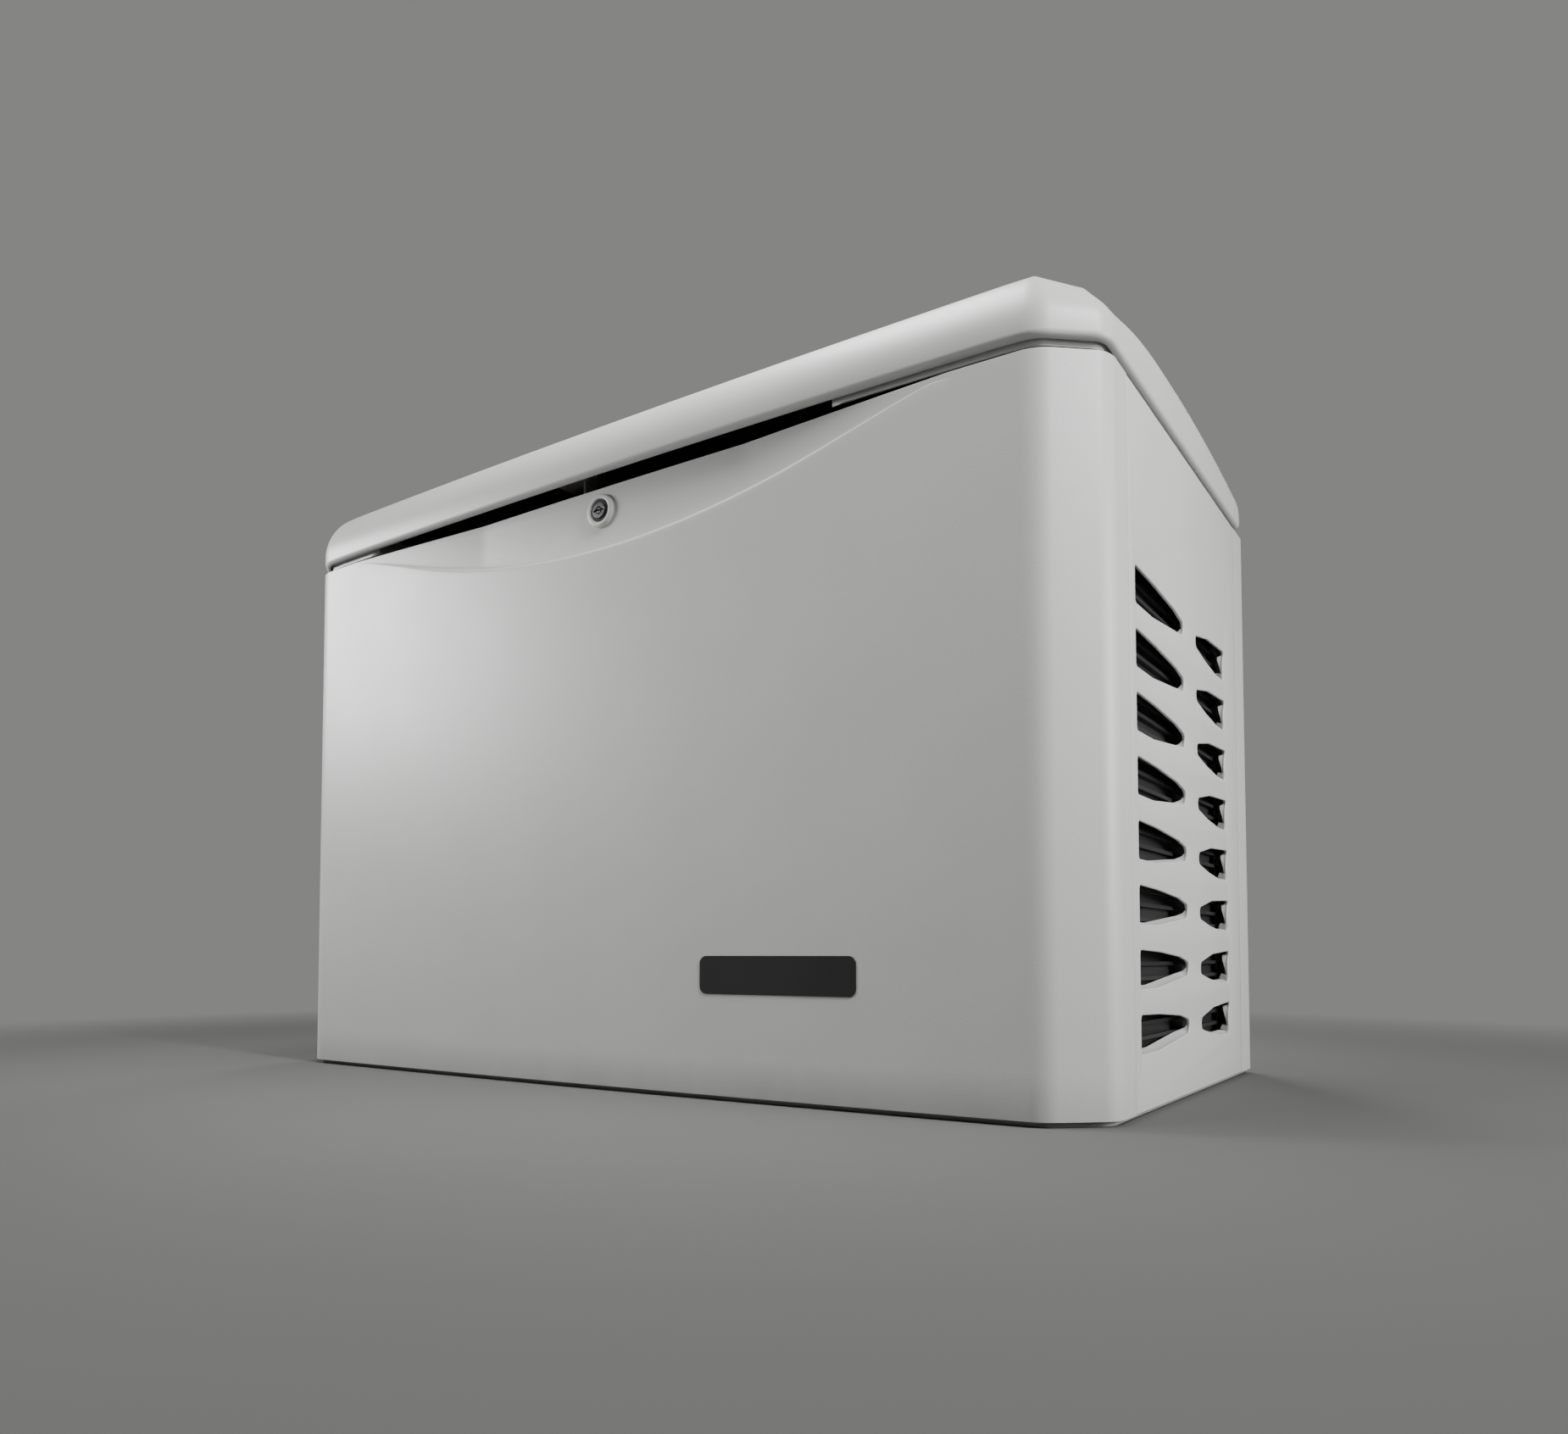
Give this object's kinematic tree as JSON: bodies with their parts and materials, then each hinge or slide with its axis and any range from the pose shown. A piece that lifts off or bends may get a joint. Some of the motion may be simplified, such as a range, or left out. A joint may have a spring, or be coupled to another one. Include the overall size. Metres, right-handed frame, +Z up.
{
  "type": "home standby generator",
  "caption": "Standby generator in a louvred plastic enclosure with an arched hinged lid, lockable front cover and an air-cooled gas engine driving an alternator.",
  "frame": {"origin": "centre of the enclosure's footprint, on the ground", "axes": "+X along the length towards the louvred end that carries the exhaust, -Y towards the front with the lock, +Z up"},
  "size_m": [1.2, 0.635, 0.8273],
  "materials": {
    "enclosure_plastic": "fine leather-like grain",
    "base_paint": "powder coat",
    "baffle_plastic": "matt",
    "badge": "satin",
    "foam": "open-cell foam with a scrim face",
    "rubber": "matt",
    "zinc_steel": "zinc plated",
    "strut_paint": "satin",
    "polished_rod": "ground and polished",
    "lock_black": "satin",
    "lock_face": "brushed",
    "black_paint": "satin",
    "cast_aluminium": "as cast",
    "shroud_plastic": "fine grain",
    "forged_steel": "machined",
    "pipe_steel": "black-grey pipe and rubber hose",
    "handle_red": "dip coated",
    "filter_paint": "gloss",
    "cap_yellow": "gloss",
    "plug_rubber": "moulded boot",
    "exhaust_steel": "heat tinted",
    "battery_case": "fine grain",
    "cable_rubber": "satin",
    "control_plastic": "satin",
    "button_red": "gloss",
    "button_green": "gloss",
    "button_blue": "gloss"
  },
  "bodies": {
    "enclosure": {"base_tray": "base_paint", "left_panel": "enclosure_plastic", "right_panel": "enclosure_plastic", "rear_panel": "enclosure_plastic", "side_baffles": "baffle_plastic", "upper_frame": "enclosure_plastic", "bulkhead": "zinc_steel", "panel_screws": "zinc_steel", "lid_gasket": "rubber", "hinge_body_leaves": "zinc_steel", "strut_body_studs": "zinc_steel", "engine_cradle": "black_paint", "vibration_mounts": "rubber", "crankcase": "cast_aluminium", "cylinders": "cast_aluminium", "cylinder_heads": "cast_aluminium", "rocker_covers": "black_paint", "blower_housing": "shroud_plastic", "intake_manifold": "cast_aluminium", "air_filter_housing": "shroud_plastic", "fuel_mixer": "cast_aluminium", "gas_regulator": "cast_aluminium", "gas_pipe": "pipe_steel", "oil_filter": "filter_paint", "oil_filler_cap": "cap_yellow", "spark_plugs": "plug_rubber", "starter_motor": "black_paint", "exhaust_pipes": "exhaust_steel", "muffler": "exhaust_steel", "heat_shield": "exhaust_steel", "stator_housing": "cast_aluminium", "end_bracket": "cast_aluminium", "battery": "battery_case", "battery_strap": "zinc_steel", "battery_cables": "cable_rubber", "controller_box": "control_plastic", "main_breaker": "control_plastic"},
    "lid": {"lid_shell": "enclosure_plastic", "lid_rim": "enclosure_plastic", "lid_liner": "foam", "lid_keeper": "zinc_steel", "hinge_lid_leaves": "zinc_steel", "strut_lid_studs": "zinc_steel"},
    "front_cover": {"front_panel": "enclosure_plastic", "badge_plate": "badge", "lock_bezel": "lock_black"},
    "lock": {"lock_cylinder": "lock_face", "lock_cam": "zinc_steel"},
    "crank_train": {"crankshaft": "forged_steel", "flywheel_fan": "cast_aluminium", "rotor": "forged_steel"},
    "strut_left_tube": {"strut_cylinder_left": "strut_paint"},
    "strut_right_tube": {"strut_cylinder_right": "strut_paint"},
    "strut_left_rod": {"strut_rod_left": "polished_rod"},
    "strut_right_rod": {"strut_rod_right": "polished_rod"},
    "off_button": {"button_off": "button_red"},
    "auto_button": {"button_auto": "button_green"},
    "manual_button": {"button_manual": "button_blue"},
    "toggle": {"breaker_toggle": "control_plastic"},
    "valve_handle": {"fuel_valve_handle": "handle_red"}
  },
  "joints": [
    {"name": "lid_hinge", "type": "hinge", "parent": "enclosure", "child": "lid", "pos_m": [0, 0.3035, 0.723], "axis": [-1, 0, 0], "range_deg": [0, 70]},
    {"name": "front_cover_pull", "type": "slide", "parent": "enclosure", "child": "front_cover", "axis": [0, -1, 0], "range_m": [0, 0.35]},
    {"name": "lock_turn", "type": "hinge", "parent": "front_cover", "child": "lock", "pos_m": [0, -0.29, 0.689], "axis": [0, -1, 0], "range_deg": [0, 90]},
    {"name": "crank_spin", "type": "hinge", "parent": "enclosure", "child": "crank_train", "pos_m": [0.1, 0.02, 0.29], "axis": [1, 0, 0], "continuous": true},
    {"name": "strut_left_swing", "type": "hinge", "parent": "enclosure", "child": "strut_left_tube", "pos_m": [-0.545, 0.18, 0.48], "axis": [-1, 0, 0], "range_deg": [0, 34.15]},
    {"name": "strut_left_extend", "type": "slide", "parent": "strut_left_tube", "child": "strut_left_rod", "axis": [0, -0.4576, 0.8891], "range_m": [0, 0.1984]},
    {"name": "strut_right_swing", "type": "hinge", "parent": "enclosure", "child": "strut_right_tube", "pos_m": [0.545, 0.18, 0.48], "axis": [-1, 0, 0], "range_deg": [0, 34.15]},
    {"name": "strut_right_extend", "type": "slide", "parent": "strut_right_tube", "child": "strut_right_rod", "axis": [0, -0.4576, 0.8891], "range_m": [0, 0.1984]},
    {"name": "press_off", "type": "slide", "parent": "enclosure", "child": "off_button", "axis": [0, 0, -1], "range_m": [0, 0.0025], "stiffness_N_per_m": 300, "springref_m": -0.001},
    {"name": "press_auto", "type": "slide", "parent": "enclosure", "child": "auto_button", "axis": [0, 0, -1], "range_m": [0, 0.0025], "stiffness_N_per_m": 300, "springref_m": -0.001},
    {"name": "press_manual", "type": "slide", "parent": "enclosure", "child": "manual_button", "axis": [0, 0, -1], "range_m": [0, 0.0025], "stiffness_N_per_m": 300, "springref_m": -0.001},
    {"name": "breaker_throw", "type": "hinge", "parent": "enclosure", "child": "toggle", "pos_m": [-0.45, 0.02, 0.634], "axis": [-1, 0, 0], "range_deg": [0, 56]},
    {"name": "gas_valve_turn", "type": "hinge", "parent": "enclosure", "child": "valve_handle", "pos_m": [-0.088, 0.234, 0.232], "axis": [1, 0, 0], "range_deg": [0, 90]}
  ],
  "couplings": [
    {"joint": "strut_left_swing", "follows": "lid_hinge", "ratio": 0.48774},
    {"joint": "strut_left_extend", "follows": "lid_hinge", "m_per_rad": 0.16229},
    {"joint": "strut_right_swing", "follows": "lid_hinge", "ratio": 0.48774},
    {"joint": "strut_right_extend", "follows": "lid_hinge", "m_per_rad": 0.16229}
  ]
}
